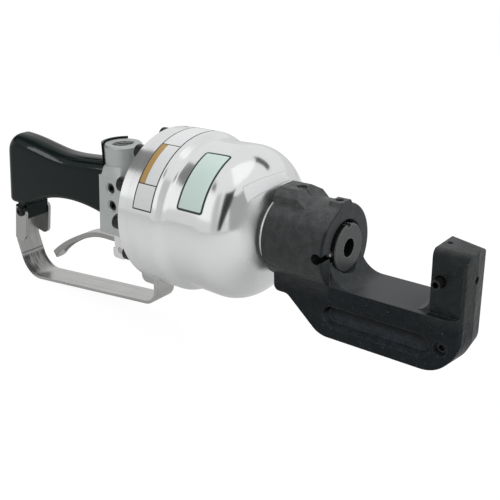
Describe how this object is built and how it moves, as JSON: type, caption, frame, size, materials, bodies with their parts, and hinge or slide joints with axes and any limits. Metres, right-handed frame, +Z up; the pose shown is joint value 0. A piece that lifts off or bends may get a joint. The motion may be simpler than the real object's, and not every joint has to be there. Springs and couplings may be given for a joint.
{
  "type": "hydraulic crimping tool",
  "caption": "Hand-held hydraulic crimping tool: polished cylinder, black C-shaped head with ram and anvil, valve block with port boss, black grip, trigger lever and steel strap guard.",
  "frame": {"origin": "Centre of the ram's face with the ram retracted, at the mouth of its die socket.", "axes": "+X runs along the ram from the cylinder to the anvil; +Z is up, away from the trigger and its guard; +Y is the far side as pictured, where the return port is."},
  "size_m": [0.5163, 0.138, 0.1888],
  "materials": {
    "polished_aluminium": "turned and polished",
    "satin_aluminium": "satin, machined",
    "black_forging": "matte black on a forged surface",
    "black_ram": "satin black on ground steel",
    "black_grip": "gloss black moulding",
    "bright_steel": "brushed",
    "plain_steel": "ground",
    "black_fasteners": "black oxide",
    "bronze": "machined bronze",
    "bearing_plastic": "plain",
    "seal_rubber": "plain"
  },
  "bodies": {
    "body": {"cylinder_housing": "polished_aluminium", "rear_end_cap": "polished_aluminium", "end_cap_screws": "black_fasteners", "end_cap_seal": "seal_rubber", "passage_plug": "black_fasteners", "rod_bushing": "bronze", "rod_seal": "seal_rubber", "rod_wiper": "seal_rubber", "valve_block": "satin_aluminium", "block_screws": "black_fasteners", "block_face_seals": "seal_rubber", "side_plugs": "black_fasteners", "spool_gland": "bronze", "spool_spring": "plain_steel", "trigger_pivot_pin": "bright_steel", "handle_grip": "black_grip", "guard_strap": "bright_steel", "guard_rear_screw": "black_fasteners", "guard_front_screw": "black_fasteners", "c_head": "black_forging", "head_lock_screw": "black_fasteners", "ram_key_screw": "black_fasteners", "anvil_lock_screw": "black_fasteners", "head_side_plug": "black_fasteners"},
    "ram_assembly": {"ram": "black_ram", "piston": "plain_steel", "piston_nut": "plain_steel", "piston_seal": "seal_rubber", "piston_wear_rings": "bearing_plastic", "piston_rod_seal": "seal_rubber"},
    "ram_pin": {"die_lock_pin": "bright_steel"},
    "anvil_pin": {"anvil_die_pin": "black_fasteners"},
    "trigger": {"trigger_lever": "bright_steel"},
    "spool": {"valve_spool": "plain_steel", "spool_end": "plain_steel", "spool_seals": "seal_rubber"}
  },
  "joints": [
    {"name": "ram_slide", "type": "slide", "parent": "body", "child": "ram_assembly", "axis": [1, 0, 0], "range_m": [0, 0.042]},
    {"name": "ram_pin_pull", "type": "slide", "parent": "ram_assembly", "child": "ram_pin", "axis": [0, -1, 0], "range_m": [0, 0.0025], "stiffness_N_per_m": 400, "springref_m": -0.005},
    {"name": "anvil_pin_pull", "type": "slide", "parent": "body", "child": "anvil_pin", "axis": [0, -1, 0], "range_m": [0, 0.003], "stiffness_N_per_m": 800, "springref_m": -0.005},
    {"name": "trigger_pull", "type": "hinge", "parent": "body", "child": "trigger", "pos_m": [-0.244, 0, -0.056], "axis": [0, 1, 0], "range_deg": [0, 16], "stiffness_Nm_per_rad": 1.5, "springref_deg": -20.05},
    {"name": "spool_slide", "type": "slide", "parent": "body", "child": "spool", "axis": [0, 0, -1], "range_m": [0, 0.0052], "deforming": ["spool_spring"]}
  ],
  "couplings": [
    {"joint": "spool_slide", "follows": "trigger_pull", "m_per_rad": 0.01776}
  ]
}
